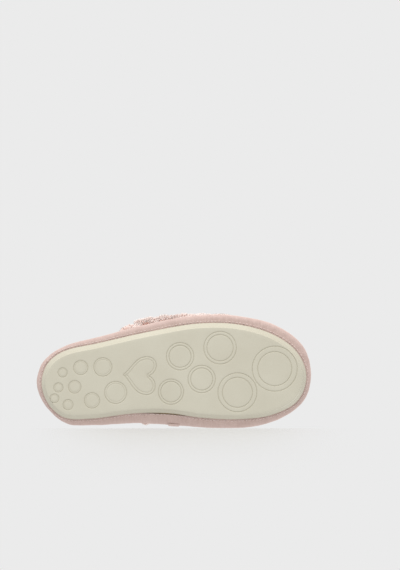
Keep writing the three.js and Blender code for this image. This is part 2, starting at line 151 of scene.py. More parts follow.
def mesh_object(name, points, faces, smooth=True):
    """An object from lists of points and faces."""
    mesh = bpy.data.meshes.new(name)
    mesh.from_pydata([tuple(p) for p in points], [], [tuple(f) for f in faces])
    mesh.validate()
    mesh.polygons.foreach_set("use_smooth", [smooth] * len(mesh.polygons))
    return placed(name, mesh)


def point_values(mesh, key, values):
    """Stores a float value at each point of a mesh, for its material to read."""
    mesh.attributes.new(key, "FLOAT", "POINT").data.foreach_set("value", values)


def triangle_object(name, points, triangles, attributes):
    """An object from arrays of points and triangles, with float values at its points."""
    mesh = bpy.data.meshes.new(name)
    mesh.vertices.add(len(points))
    mesh.vertices.foreach_set("co", points.ravel())
    mesh.loops.add(triangles.size)
    mesh.loops.foreach_set("vertex_index", triangles.ravel())
    mesh.polygons.add(len(triangles))
    mesh.polygons.foreach_set("loop_start", np.arange(0, triangles.size, 3))
    mesh.polygons.foreach_set("use_smooth", np.ones(len(triangles), bool))
    mesh.update(calc_edges=True)
    for key, values in attributes.items():
        point_values(mesh, key, values)
    return placed(name, mesh)


def with_height(loop, height):
    heights = np.broadcast_to(height, (len(loop),))
    return np.column_stack([loop, heights])


def ring_faces(rows, count, closed):
    """Quads between neighbouring closed rows of points; closed joins the last to the first."""
    faces = []
    for row in range(rows if closed else rows - 1):
        low, high = row * count, ((row + 1) % rows) * count
        for i in range(count):
            j = (i + 1) % count
            faces.append((low + i, low + j, high + j, high + i))
    return faces


def swept(name, loop, profile, closed=True):
    """A profile of (inset, height) points carried round a closed loop."""
    rows = [with_height(inset(loop, distance), height) for distance, height in profile]
    points = np.vstack(rows)
    return mesh_object(name, points, ring_faces(len(rows), len(loop), closed))


def joined(name, parts):
    """One object from several; the first one's materials stay."""
    built = bmesh.new()
    for part in parts:
        built.from_mesh(part.data)
    keep = parts[0]
    built.to_mesh(keep.data)
    built.free()
    for part in parts[1:]:
        bpy.data.objects.remove(part)
    keep.name = name
    return keep


def outward_faces(obj, merge=0.0):
    """Turns every face outwards, after welding points closer together than merge."""
    built = bmesh.new()
    built.from_mesh(obj.data)
    if merge:
        bmesh.ops.remove_doubles(built, verts=built.verts, dist=merge)
    bmesh.ops.recalc_face_normals(built, faces=built.faces)
    built.to_mesh(obj.data)
    built.free()


def apply_modifiers(obj):
    graph = bpy.context.evaluated_depsgraph_get()
    mesh = bpy.data.meshes.new_from_object(obj.evaluated_get(graph))
    obj.modifiers.clear()
    obj.data = mesh


def modify(obj, kind, **settings):
    """Adds a modifier and applies it."""
    modifier = obj.modifiers.new(kind.lower(), kind)
    for key, value in settings.items():
        setattr(modifier, key, value)
    apply_modifiers(obj)


def shifted(obj, offset):
    """Moves each vertex along its normal by offset(point, normal)."""
    mesh = obj.data
    moved = []
    for vertex in mesh.vertices:
        normal = vertex.normal.copy()
        moved.append(vertex.co + normal * offset(vertex.co, normal))
    for vertex, place in zip(mesh.vertices, moved):
        vertex.co = place
    mesh.update()


def copy_of(node, name):
    """A loose, welded copy of a CAD node's mesh, to work on."""
    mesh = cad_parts[node].data.copy()
    mesh.materials.clear()
    obj = placed(name, mesh)
    outward_faces(obj, merge=0.01 * MM)
    return obj


def fractal(point, size, depth=3, seed=0.0):
    """Soft noise from -1 to 1 whose features are about size metres across."""
    shifted_point = Vector(point) / size + Vector((seed, seed * 1.7, seed * 0.6))
    return noise.fractal(shifted_point, 1.0, 2.0, depth)


def point_tree(points):
    """Finds the nearest of many points."""
    tree = KDTree(len(points))
    for i, point in enumerate(points):
        tree.insert(point, i)
    tree.balance()
    return tree


def swell(share):
    """Rises smoothly from 0 to 1."""
    share = min(max(share, 0.0), 1.0)
    return share * share * (3 - 2 * share)


# ---- Materials ----------------------------------------------------------------------------


def linear(*srgb):
    """A colour given as screen values from 0 to 255, as linear RGBA."""
    values = [v / 255 for v in srgb]
    rgb = [v / 12.92 if v <= 0.04045 else ((v + 0.055) / 1.055) ** 2.4 for v in values]
    return (*rgb, 1.0)


class Nodes:
    """A material's node tree, with short calls for the nodes that these materials share."""

    def __init__(self, name, roughness, sheen=0.0, sheen_tint=(1, 1, 1, 1), specular=0.5):
        self.material = bpy.data.materials.new(name)
        self.material.use_nodes = True
        self.tree = self.material.node_tree
        self.shader = self.tree.nodes["Principled BSDF"]
        for socket, value in {
            "Roughness": roughness, "Sheen Weight": sheen, "Sheen Roughness": 0.5,
            "Sheen Tint": sheen_tint, "Specular IOR Level": specular,
        }.items():
            self.shader.inputs[socket].default_value = value
        self.place = self.tree.nodes.new("ShaderNodeTexCoord").outputs["Object"]

    def link(self, output, socket):
        self.tree.links.new(output, socket)

    def node(self, kind, vector=None, **settings):
        """A node with values on its sockets and, where it takes one, a vector."""
        made = self.tree.nodes.new("ShaderNode" + kind)
        for socket, value in settings.items():
            made.inputs[socket].default_value = value
        if vector is not None:
            self.link(vector, made.inputs["Vector"])
        return made

    def noise(self, scale, detail=3.0, roughness=0.55, stretch=None):
        vector = self.place
        if stretch is not None:
            vector = self.node("Mapping", vector, Scale=stretch).outputs["Vector"]
        made = self.node("TexNoise", vector, Scale=scale, Detail=detail, Roughness=roughness)
        return made.outputs["Fac"]

    def cells(self, scale):
        return self.node("TexVoronoi", self.place, Scale=scale).outputs["Distance"]

    def wave(self, scale, direction, distortion):
        made = self.node("TexWave", self.place, Scale=scale, Distortion=distortion)
        made.bands_direction = direction
        return made.outputs["Fac"]

    def attribute(self, name):
        made = self.node("Attribute")
        made.attribute_name = name
        return made.outputs["Fac"]

    def ramp(self, value, stops):
        made = self.node("ValToRGB")
        first, last = made.color_ramp.elements
        first.position, first.color = stops[0]
        last.position, last.color = stops[-1]
        for position, colour in stops[1:-1]:
            made.color_ramp.elements.new(position).color = colour
        self.link(value, made.inputs["Fac"])
        return made.outputs["Color"]

    def times(self, value, factor):
        made = self.node("Math")
        made.operation = "MULTIPLY"
        self.link(value, made.inputs[0])
        made.inputs[1].default_value = factor
        return made.outputs["Value"]

    def mix(self, factor, a, b):
        made = self.node("Mix")
        made.data_type = "RGBA"
        for socket, value in zip((made.inputs[0], made.inputs[6], made.inputs[7]), (factor, a, b)):
            if isinstance(value, (float, tuple)):
                socket.default_value = value
            else:
                self.link(value, socket)
        return made.outputs[2]

    def colour(self, value):
        self.link(value, self.shader.inputs["Base Color"])

    def roughness(self, value, low, high):
        made = self.node("MapRange", **{"To Min": low, "To Max": high})
        self.link(value, made.inputs["Value"])
        self.link(made.outputs["Result"], self.shader.inputs["Roughness"])

    def bump(self, height, distance, strength):
        made = self.node("Bump", Distance=distance, Strength=strength)
        self.link(height, made.inputs["Height"])
        earlier = self.shader.inputs["Normal"].links
        if earlier:
            self.link(earlier[0].from_socket, made.inputs["Normal"])
        self.link(made.outputs["Normal"], self.shader.inputs["Normal"])


def rubber_material():
    """Cream rubber: matt and finely speckled, with painted shade down in the grooves."""
    made = Nodes("cream_rubber", 0.6, specular=0.35)
    broad = made.noise(22, 4)
    tone = made.ramp(broad, [(0.3, linear(203, 198, 180)), (0.7, linear(212, 208, 191))])
    fine = made.noise(1500, 2)
    speck = made.ramp(fine, [(0.35, linear(197, 192, 173)), (0.65, linear(217, 213, 197))])
    # painted shade: the grooves are darkened as deep as they are cut
    groove_shade = made.attribute("groove_shade")
    worn = made.mix(0.3, tone, speck)
    made.colour(made.mix(groove_shade, worn, linear(178, 171, 149)))
    made.roughness(fine, 0.52, 0.7)
    made.bump(fine, 0.00012, 0.6)
    made.bump(made.noise(240, 3), 0.0002, 0.35)
    return made.material


def suede_material(name, light, dark, scale=1.0):
    """Microfibre suede: a napped, slightly mottled face with faint brushed streaks."""
    made = Nodes(name, 0.9, sheen=0.35, sheen_tint=linear(245, 226, 220), specular=0.2)
    mottle = made.noise(90 * scale, 5, 0.6)
    nap = made.noise(900 * scale, 3, 0.7)
    streak = made.noise(160 * scale, 4, stretch=(1, 5, 1))
    tone = made.ramp(mottle, [(0.3, dark), (0.7, light)])
    brushed = made.ramp(streak, [(0.35, dark), (0.65, light)])
    grain = made.ramp(nap, [(0.3, dark), (0.7, light)])
    made.colour(made.mix(0.35, made.mix(0.4, tone, brushed), grain))
    made.roughness(nap, 0.8, 0.98)
    made.bump(nap, 0.00025, 0.7)
    made.bump(made.noise(2600, 2), 0.0001, 0.6)
    return made.material


def fur_material(name, root, middle, tip):
    """Plush pile: painted shade makes it deep pink between the locks, nearly white at their ends.
    """
    made = Nodes(name, 0.9, specular=0.0)
    along = made.attribute("along")
    # painted shade: the root colour darkens each lock's foot, down between the locks
    shade = made.ramp(along, [(0.0, root), (0.45, middle), (1.0, tip)])
    tone = made.attribute("tone")
    patch = made.noise(70, 3)
    varied = made.mix(made.times(tone, 0.2), shade, linear(253, 226, 216))
    made.colour(made.mix(made.times(patch, 0.25), varied, linear(252, 236, 229)))
    made.roughness(patch, 0.8, 0.95)
    return made.material


def fleece_material(name, light, dark):
    made = Nodes(name, 0.95, sheen=0.15, sheen_tint=linear(250, 238, 232), specular=0.1)
    curl = made.noise(420, 4, 0.7)
    broad = made.noise(60, 3)
    tone = made.ramp(curl, [(0.3, dark), (0.65, light)])
    made.colour(made.mix(made.times(broad, 0.4), tone, dark))
    made.roughness(curl, 0.88, 1.0)
    made.bump(curl, 0.0009, 0.8)
    made.bump(made.noise(1800, 3), 0.0002, 0.7)
    return made.material


def thread_material():
    made = Nodes("seam_thread", 0.7, sheen=0.3, specular=0.3)
    twist = made.wave(900, "DIAGONAL", 0.4)
    made.colour(made.ramp(twist, [(0.2, linear(222, 198, 190)), (0.8, linear(244, 228, 223))]))
    made.bump(twist, 0.00015, 0.8)
    return made.material


def foam_material(name, light, dark):
    made = Nodes(name, 0.9, specular=0.2)
    cells = made.cells(900)
    made.colour(made.ramp(cells, [(0.1, dark), (0.6, light)]))
    made.roughness(made.noise(300), 0.85, 0.98)
    made.bump(cells, 0.0003, 0.7)
    return made.material


PINK_LIGHT = linear(218, 195, 187)
PINK_DARK = linear(194, 169, 161)
RUBBER = rubber_material()
BINDING = suede_material("binding_suede", PINK_LIGHT, PINK_DARK)
BOW = suede_material("bow_suede", linear(209, 187, 179), linear(188, 165, 157))
# The first colour of each pile is painted shade at the locks' roots.
FUR = fur_material(
    "plush_fur", linear(252, 219, 208), linear(254, 236, 229), linear(255, 245, 241)
)
SHORT_FUR = fur_material(
    "trim_fur", linear(251, 216, 205), linear(253, 231, 223), linear(254, 240, 234)
)
FLEECE = fleece_material("fleece", linear(244, 229, 222), linear(234, 212, 204))
# its first colour is painted shade at the roots, as for the plush
SOCK_PILE = fur_material(
    "sock_pile", linear(251, 234, 227), linear(253, 240, 235), linear(254, 245, 241)
)
THREAD = thread_material()
FOAM = foam_material("white_foam", linear(243, 240, 232), linear(214, 208, 194))
BOARD = foam_material("fibreboard", linear(190, 168, 134), linear(150, 126, 96))


def piece(obj, material, slot, *nodes):
    """Gives a finished piece its material, hangs it under the root body and hides the CAD nodes it
    stands for.
    """
    obj.data.materials.clear()
    obj.data.materials.append(material)
    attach(obj, "root")
    if nodes:
        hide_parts(*nodes)
    return obj


# ---- Outsole ------------------------------------------------------------------------------
# Rings on the tread: millimetres forward of the middle, outward, outer and inner radius.
RINGS = [
    (-105, 10, 4.4, 3.2), (-110, -4, 4.4, 3.2), (-114.5, -14, 4.2, 3.0), (-102, -21, 4.8, 3.5),
    (-94.5, -4.5, 6.0, 4.7), (-87.5, 13.5, 6.8, 5.4), (-79, -18.5, 7.3, 5.9),
    (-66.5, 12.5, 8.7, 7.1), (-56, -12.5, 10.5, 8.7), (-3.5, -15.5, 12.0, 9.8),
    (7.5, 17.5, 13.0, 10.5), (26.5, -5.5, 13.0, 10.5), (46, 23, 15.5, 12.5),
    (59.5, -20.5, 18.5, 14.3), (96.5, -0.5, 21.4, 16.2),
]
LARGE_RING = 11.0  # radius from which both lines of a ring are deep
RING_DEPTH = 0.5
FAINT_RING = 0.45  # share of that depth, for the inner line of a smaller ring
RING_POINTS = 5  # more of them for each millimetre of a ring's radius
GROOVE_SHADE_SHARE = 0.5  # share of the painted groove shade at its deepest
HEART_TIP = (-47.5, 4.0)
HEART_LENGTH = 31.0
HEART_WIDTH = 36.0
HEART_TURN = 0.12
HEART_LINE = 2.2
HEART_INNER = 0.7  # share of the ring's depth
HEART_STEPS = 22
GROOVE_ROWS = (-1.0, -0.6, -0.25, 0.0, 0.25, 0.6, 1.0)
GROOVE_WIDTH = 0.34
GROOVE_REACH = 2.5  # a groove cuts nothing further away
GRID_STEP = 3.2  # of the flat parts' points
GRID_CLEAR = 1.3  # from those points to the grooves'
TREAD_BAND = 1.2 * MM  # the painted groove shade stays under this height
TOP_INSET = 10 * MM


def heart_outline():
    """The heart's outline on the tread, in millimetres (x, y), tip first, anticlockwise."""
    length, half = HEART_LENGTH, HEART_WIDTH / 2
    right = [
        [(0, 0), (0.25, -0.35), (0.35, -1), (0.72, -1)],
        [(0.72, -1), (1.05, -1), (1.1, -0.25), (0.78, 0)],
    ]
    left = [[(a, -b) for a, b in reversed(curve)] for curve in reversed(right)]
    points = []
    for curve in right + left:
        a, b, c, d = (np.array((along * length, across * half)) for along, across in curve)
        for share in np.linspace(0, 1, HEART_STEPS, endpoint=False):
            rest = 1 - share
            points.append(
                a * rest**3 + 3 * b * rest**2 * share + 3 * c * rest * share**2 + d * share**3
            )
    turn = HEART_TURN - math.pi / 2
    turned = np.array(points) @ np.array(
        [[math.cos(turn), math.sin(turn)], [-math.sin(turn), math.cos(turn)]]
    )
    return turned + np.array((-HEART_TIP[1], -HEART_TIP[0]))


def circle(x, y, radius, fewest):
    count = int(fewest + radius * RING_POINTS)
    turn = np.linspace(0, 2 * math.pi, count, endpoint=False)
    return np.stack([x + radius * np.cos(turn), y + radius * np.sin(turn)], 1)


def tread_lines():
    """Closed lines in millimetres that the tread's grooves follow, with their depths."""
    lines = []
    for forward, outward, outer, inner in RINGS:
        x, y = -outward, -forward
        faint = 1.0 if outer > LARGE_RING else FAINT_RING
        lines.append((circle(x, y, outer, 40), RING_DEPTH))
        lines.append((circle(x, y, inner, 36), RING_DEPTH * faint))
    heart = heart_outline()
    lines.append((heart, RING_DEPTH))
    lines.append((inset(heart, HEART_LINE), RING_DEPTH * HEART_INNER))
    return lines


def groove_depth(points, lines):
    """How deep the tread is cut at each point, in millimetres."""
    depth = np.zeros(len(points))
    for line, deepest in lines:
        ends = np.roll(line, -1, 0)
        for start, end in zip(line, ends):
            middle = (start + end) / 2
            reach = np.linalg.norm(end - start) / 2 + GROOVE_REACH
            near = np.abs(points - middle).max(axis=1) < reach
            if not near.any():
                continue
            span = end - start
            share = np.clip(((points[near] - start) @ span) / (span @ span), 0, 1)
            away = np.linalg.norm(points[near] - start - share[:, None] * span, axis=1)
            cut = deepest * np.exp(-((away / GROOVE_WIDTH) ** 2))
            depth[near] = np.maximum(depth[near], cut)
    return depth


def tread_face():
    """The tread's points and faces in the plane and the depth of each point's cut: a flat
    sheet with fine grooves, its points close together along them. In millimetres."""
    edge = inset(outsole_loop, TREAD_INSET) / MM
    lines = tread_lines()
    points = [tuple(p) for p in edge]
    edges = []
    for line, _ in lines:
        for row in GROOVE_ROWS:
            start = len(points)
            points += [tuple(p) for p in inset(line, row)]
            count = len(line)
            if row == 0.0:
                edges += [(start + i, start + (i + 1) % count) for i in range(count)]
    low, high = edge.min(axis=0), edge.max(axis=0)
    grid = [
        (x + (0 if int(y) % 2 else GRID_STEP / 2), y)
        for x in np.arange(low[0], high[0], GRID_STEP)
        for y in np.arange(low[1], high[1], GRID_STEP)
    ]
    taken = point_tree([(*point, 0) for point in points])
    border = [Vector(p) for p in inset(edge, GRID_STEP / 2)]
    for spot in grid:
        if taken.find((*spot, 0))[2] > GRID_CLEAR and inside_loop(spot, border):
            points.append(spot)
    faces = [list(range(len(edge)))]
    made = geometry.delaunay_2d_cdt([Vector(p) for p in points], edges, faces, 1, 1e-4)
    flat = np.array([tuple(p) for p in made[0]])
    return flat, groove_depth(flat, lines), made[2]


def inside_loop(spot, border):
    """Whether a spot in the plane lies inside a closed border."""
    x, y = spot
    within = False
    for a, b in zip(border, border[1:] + border[:1]):
        if (a.y > y) != (b.y > y) and x < a.x + (y - a.y) / (b.y - a.y) * (b.x - a.x):
            within = not within
    return within


def outsole():
    """The moulded sole: the grooved tread, the wall with its fine line, and a flat top."""
    flat, cut, faces = tread_face()
    points = np.column_stack([flat * MM, cut * MM])
    tread = mesh_object("tread", points, [tuple(reversed(f)) for f in faces])
    sides = [
        (TREAD_INSET, 0.0), (TREAD_INSET - 0.35 * MM, 0.06 * MM),
        (TREAD_INSET - 0.62 * MM, 0.28 * MM), (TREAD_INSET - 0.8 * MM, 0.7 * MM),
        (TREAD_INSET - 1.4 * MM, WELT_HEIGHT - 0.35 * MM), (TREAD_INSET - 1.5 * MM, WELT_HEIGHT),
        (TREAD_INSET - 1.2 * MM, WELT_HEIGHT + 0.25 * MM),
        (TREAD_INSET - 0.95 * MM, WELT_HEIGHT + 0.5 * MM),
        (TREAD_INSET - 1.6 * MM, WELT_HEIGHT + 1.0 * MM), (1.3 * MM, OUTSOLE_RIM - 2.2 * MM),
        (0.35 * MM, OUTSOLE_RIM - 1.2 * MM), (0.05 * MM, OUTSOLE_RIM - 0.55 * MM),
        (0.15 * MM, OUTSOLE_RIM - 0.12 * MM), (0.5 * MM, OUTSOLE_RIM),
        (TOP_INSET, OUTSOLE_RIM),
    ]
    wall = swept("wall", outsole_loop, sides, closed=False)
    top = mesh_object(
        "top", with_height(inset(outsole_loop, TOP_INSET), OUTSOLE_RIM), [range(LOOP_COUNT)]
    )
    sole = joined("outsole_moulding", [tread, wall, top])
    outward_faces(sole, merge=0.02 * MM)
    places = mesh_points(sole.data)
    cut = groove_depth(places[:, :2] / MM, tread_lines())
    # painted shade in the tread's grooves, darker where they are cut deeper
    values = np.where(places[:, 2] < TREAD_BAND, cut, 0) / RING_DEPTH
    point_values(sole.data, "groove_shade", values * GROOVE_SHADE_SHARE)
    return piece(sole, RUBBER, "outsole_rubber", "outsole")


outsole()

# ---- Bound edge ---------------------------------------------------------------------------
TAPE_FLANGE = 11 * MM
TAPE_THICK = 0.8 * MM
EDGE_RADIUS = 4 * MM
STITCH_STEP = 3.4 * MM
STITCH_LENGTH = 2.6 * MM
STITCH_RADIUS = 0.4 * MM
SEAM_OUT = 1.5 * MM
HEEL_SEAM_INSET = 7.2 * MM
VAMP_BACK = 42 * MM  # the vamp's wings end here, and the heel's seam shows behind them
BEND_STEPS = 7  # round each bend of the tape
CUT_EDGE = 0.25 * MM  # how far the cut edges of fabric are rounded
PUCKERS = 90  # waves for each radian round the seam
PUCKER_DEPTH = 0.1
PUCKER_HEIGHT = 1.5 * MM  # they die out this far over the seam
STITCH_SIDES = 6
STITCH_SKEW = 0.05
THREAD_UNDER, THREAD_OVER = 0.12 * MM, 0.1 * MM  # from the tape to the middle of its stitches


def edge_profile(inward):
    """The tape's section from its upper flange round the edge to its lower one."""
    low, high = tape_low.z + inward, tape_high.z - inward
    radius = EDGE_RADIUS - inward
    turns = np.linspace(0, math.pi / 2, BEND_STEPS)
    upper = [(EDGE_RADIUS - radius * math.sin(t), high - radius + radius * math.cos(t))
             for t in turns]
    lower = [(EDGE_RADIUS - radius * math.cos(t), low + radius - radius * math.sin(t))
             for t in turns]
    reach = [TAPE_FLANGE - 0.4 * MM, 9 * MM, 7.2 * MM, 5.4 * MM]
    return (
        [(distance, high) for distance in reach] + upper + lower
        + [(distance, low) for distance in reversed(reach)]
    )


def binding():
    """The tape round the footbed's edge, drawn into small puckers along the lower seam."""
    profile = edge_profile(0) + list(reversed(edge_profile(TAPE_THICK)))
    tape = swept("binding", footbed_loop, profile)
    outward_faces(tape)

    def pucker(place, normal):
        soft = 0.28 * fractal(place, 16 * MM, 3) + 0.12 * fractal(place, 4 * MM, 2, 5.0)
        near_seam = math.exp(-(((place.z - tape_low.z) / PUCKER_HEIGHT) ** 2))
        turn = math.atan2(place.x, place.y) * PUCKERS
        return MM * (soft + PUCKER_DEPTH * near_seam * math.sin(turn) - PUCKER_DEPTH)

    shifted(tape, pucker)
    modify(tape, "SUBSURF", levels=1)
    return piece(tape, BINDING, "binding_suede", "binding_tape")


def binding_lap():
    lap = copy_of("binding_lap", "binding_overlap")
    modify(lap, "BEVEL", width=CUT_EDGE, segments=2, limit_method="ANGLE")
    modify(lap, "SUBSURF", levels=2)
    shifted(lap, lambda place, normal: 0.12 * MM * fractal(place, 5 * MM))
    return piece(lap, BINDING, "binding_suede", "binding_lap")


def stitch_template():
    """One stitch along X, as points and triangles: a short thread, fat in its middle."""
    sides = STITCH_SIDES
    points, faces = [], []
    rings = [(-0.5, 0.25), (-0.36, 0.8), (0.0, 1.0), (0.36, 0.8), (0.5, 0.25)]
    for along, girth in rings:
        for k in range(sides):
            turn = 2 * math.pi * k / sides
            points.append((along * STITCH_LENGTH, girth * STITCH_RADIUS * math.cos(turn),
                           girth * STITCH_RADIUS * math.sin(turn)))
    for row in range(len(rings) - 1):
        for k in range(sides):
            a, b = row * sides + k, row * sides + (k + 1) % sides
            faces += [(a, b, b + sides), (a, b + sides, a + sides)]
    last = (len(rings) - 1) * sides
    for k in range(1, sides - 1):
        faces += [(0, k + 1, k), (last, last + k, last + k + 1)]
    return np.array(points), np.array(faces)


def stitches(name, places, ahead, normals):
    """A row of stitches at places, each along ahead and lying on a face with a normal."""
    template, faces = stitch_template()
    side = np.cross(normals, ahead)
    skew = RNG.normal(0, STITCH_SKEW, len(places))[:, None]
    along = ahead + side * skew
    points = (
        places[:, None, :]
        + template[None, :, 0:1] * along[:, None, :]
        + template[None, :, 1:2] * side[:, None, :]
        + template[None, :, 2:3] * normals[:, None, :]
    )
    step = np.arange(len(places))[:, None, None] * len(template)
    return triangle_object(name, points.reshape(-1, 3), (faces[None] + step).reshape(-1, 3), {})


def seam_places(loop, height):
    """Where the stitches of a seam lie along a loop, and which way each one points."""
    run = np.linalg.norm(np.roll(loop, -1, 0) - loop, axis=1).sum()
    places = with_height(smooth_loop(loop, int(run / STITCH_STEP)), height)
    ahead = np.roll(places, -1, 0) - np.roll(places, 1, 0)
    return places, ahead / np.linalg.norm(ahead, axis=1)[:, None]


def seams():
    """The stitches beside the outsole, and those on top round the heel."""
    places, ahead = seam_places(inset(outsole_loop, -SEAM_OUT), tape_low.z - THREAD_UNDER)
    down = np.tile((0.0, 0.0, -1.0), (len(places), 1))
    lower = stitches("binding_seam_stitches", places, ahead, down)
    piece(lower, THREAD, "thread", "binding_seam")
    places, ahead = seam_places(inset(footbed_loop, HEEL_SEAM_INSET), tape_high.z + THREAD_OVER)
    shown = places[:, 1] > VAMP_BACK
    up = np.tile((0.0, 0.0, 1.0), (shown.sum(), 1))
    upper = stitches("heel_seam_stitches", places[shown], ahead[shown], up)
    piece(upper, THREAD, "thread")


binding()
binding_lap()
seams()

# ---- Pile ---------------------------------------------------------------------------------
TUFT_SIZE = 13 * MM
TUFT_LEAN = 1.1
TUFT_RISE = 0.3
TUFT_SEED = 11.0
CLUMP_SIZES = (0.88, 1.1)  # shortest and longest, as shares of the pile's length
LOCK_SIZES = (0.86, 1.08)
LOCK_WIDTHS = (0.7, 1.25)
LOCK_LOOSE = 0.22  # how far locks stray from their clump's lean
TIP_GATHER = (0.55, 1.0)
BEND_HEIGHT = 0.62  # of a lock's bend, as a share of its length
BEND_LOOSE = 0.1
LOCK_TWIST = 1.2
LOCK_FLAT = 0.75
LOCK_SIDES = 3
LOCK_RINGS = ((0.0, 1.0), (0.38, 1.05), (0.74, 0.66))  # share of the length, share of the girth
LOCK_POINTS = len(LOCK_RINGS) * LOCK_SIDES + 1
CLUMP_TONE = 0.7  # share of a lock's tone that it has from its clump


def surface_samples(obj, count, accept):
    """Points spread evenly over the faces that accept(centre, normal) takes, with normals."""
    mesh = obj.data
    mesh.calc_loop_triangles()
    corners, normals = [], []
    for face in mesh.loop_triangles:
        a, b, c = (mesh.vertices[i].co for i in face.vertices)
        if accept((a + b + c) / 3, face.normal):
            corners.append((a, b, c))
            normals.append([mesh.vertices[i].normal for i in face.vertices])
    corners, normals = np.array(corners), np.array(normals)
    spans = np.cross(corners[:, 1] - corners[:, 0], corners[:, 2] - corners[:, 0])
    areas = np.linalg.norm(spans, axis=1)
    chosen = RNG.choice(len(corners), count, p=areas / areas.sum())
    first, second = RNG.random((2, count))
    over = first + second > 1
    first[over], second[over] = 1 - first[over], 1 - second[over]
    weights = np.stack([1 - first - second, first, second], 1)[:, :, None]
    places = (corners[chosen] * weights).sum(axis=1)
    directions = (normals[chosen] * weights).sum(axis=1)
    return places, directions / np.linalg.norm(directions, axis=1)[:, None]


def unit(rows):
    """Rows of vectors brought to length 1."""
    return rows / np.maximum(np.linalg.norm(rows, axis=1), 1e-9)[:, None]


def tangent_noise(normals, spread):
    """Random vectors that lie in the surface with these normals."""
    loose = RNG.normal(0, spread, normals.shape)
    return loose - normals * (loose * normals).sum(axis=1)[:, None]


def tufts(places, values):
    """Smooth values from -1 to 1 that change from one tuft of the pile to the next."""
    return np.array([
        [fractal(Vector(place), TUFT_SIZE, 2, TUFT_SEED * k) for k in range(values)]
        for place in places
    ])


def pile(name, base, accept, locks, clumps, length, girth, gather, lean, spread=0.35,
         cover=lambda place: 1.0):
    """Locks of pile over a base: each leans with its clump and gathers towards its tip.
    cover(place) is the share of its length that a lock keeps there."""
    places, normals = surface_samples(base, locks, accept)
    centres, centre_normals = surface_samples(base, clumps, accept)
    tree = point_tree(centres)
    clump = np.array([tree.find(place)[1] for place in places])
    flow = tangent_noise(centre_normals, spread) + lean + TUFT_LEAN * tufts(centres, 3)
    flow -= centre_normals * (flow * centre_normals).sum(axis=1)[:, None]
    sizes = RNG.uniform(*CLUMP_SIZES, clumps) * (1 + TUFT_RISE * tufts(centres, 1)[:, 0])
    kept = np.array([cover(place) for place in places])
    clump_kept = np.array([cover(place) for place in centres])
    lengths = (length * sizes[clump] * RNG.uniform(*LOCK_SIZES, locks) * kept)[:, None]
    own = places + unit(normals + flow[clump] + tangent_noise(normals, LOCK_LOOSE)) * lengths
    reach = (length * sizes * clump_kept)[:, None]
    shared = (centres + unit(centre_normals + flow) * reach)[clump]
    tips = own + (shared - own) * gather * RNG.uniform(*TIP_GATHER, locks)[:, None]
    bends = places + normals * lengths * BEND_HEIGHT
    bends += tangent_noise(normals, BEND_LOOSE) * lengths
    points, along = lock_rings(places, bends, tips, girth)
    triangles = lock_faces(locks)
    own_tone = 1 - CLUMP_TONE
    tone = RNG.random(clumps)[clump] * CLUMP_TONE + RNG.random(locks) * own_tone
    # along also sets the painted shade, darkest at each lock's root
    values = {"along": along, "tone": np.repeat(tone, LOCK_POINTS)}
    return triangle_object(name, points, triangles, values)


def lock_rings(places, bends, tips, girth):
    """Each lock's rings of points and its tip, and how far along the lock each point is."""
    locks = len(places)
    ahead = unit(tips - places)
    side = unit(np.cross(ahead, RNG.normal(size=ahead.shape)))
    other = np.cross(ahead, side)
    widths = girth * RNG.uniform(*LOCK_WIDTHS, locks)
    points, along = [], []
    for share, wide in LOCK_RINGS:
        middle = (
            places * (1 - share) ** 2 + bends * 2 * share * (1 - share) + tips * share**2
        )
        for k in range(LOCK_SIDES):
            turn = 2 * math.pi * k / LOCK_SIDES + share * LOCK_TWIST
            ring = side * math.cos(turn) + other * math.sin(turn) * LOCK_FLAT
            points.append(middle + ring * (widths * wide)[:, None])
            along.append(np.full(locks, share))
    points.append(tips)
    along.append(np.ones(locks))
    return np.stack(points, 1).reshape(-1, 3), np.stack(along, 1).reshape(-1)


def lock_faces(locks):
    """The triangles of a number of locks: the sides, the pointed end and the root."""
    faces = []
    for row in range(len(LOCK_RINGS) - 1):
        for k in range(LOCK_SIDES):
            a = row * LOCK_SIDES + k
            b = row * LOCK_SIDES + (k + 1) % LOCK_SIDES
            faces += [(a, b, b + LOCK_SIDES), (a, b + LOCK_SIDES, a + LOCK_SIDES)]
    top = (len(LOCK_RINGS) - 1) * LOCK_SIDES
    tip = LOCK_POINTS - 1
    faces += [(top + k, top + (k + 1) % LOCK_SIDES, tip) for k in range(LOCK_SIDES)]
    faces += [(0, 2, 1)]
    step = np.arange(locks)[:, None, None] * LOCK_POINTS
    return (np.array(faces)[None] + step).reshape(-1, 3)


# ---- Vamp ---------------------------------------------------------------------------------
FUR_LENGTH = 7.2 * MM
FUR_GIRTH = 0.5 * MM
FUR_ZONES = 6
FUR_LOCKS = 12_400  # in each zone
FUR_CLUMPS = 200
SKIN_SINK = 1.9 * MM  # the fabric's back lies this far under the pressed-down pile
TOE_ROUND = 70 * MM  # the vamp rounds off towards the toe from this far ahead of the middle
LOWEST_LOOK = -0.35  # no pile grows on faces that look further down
ZONE_ENDS = (42 * MM, 78 * MM)  # behind the vamp's foremost point

LOOP_REACH = 41 * MM
LOOP_HALF_WIDTH = 13.5 * MM
TAIL_SIDE = 29 * MM
TAIL_AHEAD = 44 * MM
TAIL_HALF_WIDTH = 9.5 * MM
PRESSED = 0.2  # share of its length that the pile keeps under the bow
LOOP_PRESSES = 0.75  # share of a loop's reach over which it does so
TAIL_PRESSES = 0.92
PRESSED_RISE, PRESSED_START = 2.2, 1.3  # how soon it stands up again beside the bow
EDGE_PILE = 0.4  # the same where the vamp meets the footbed
OUTER_RISE = 16 * MM  # height over which it grows to its full length on the outer wing
INNER_RISE = 34 * MM  # the same on the inner side and towards the toe
WING_END = 5 * MM  # the outer wing's rise starts to change here
WING_CHANGE = 28 * MM

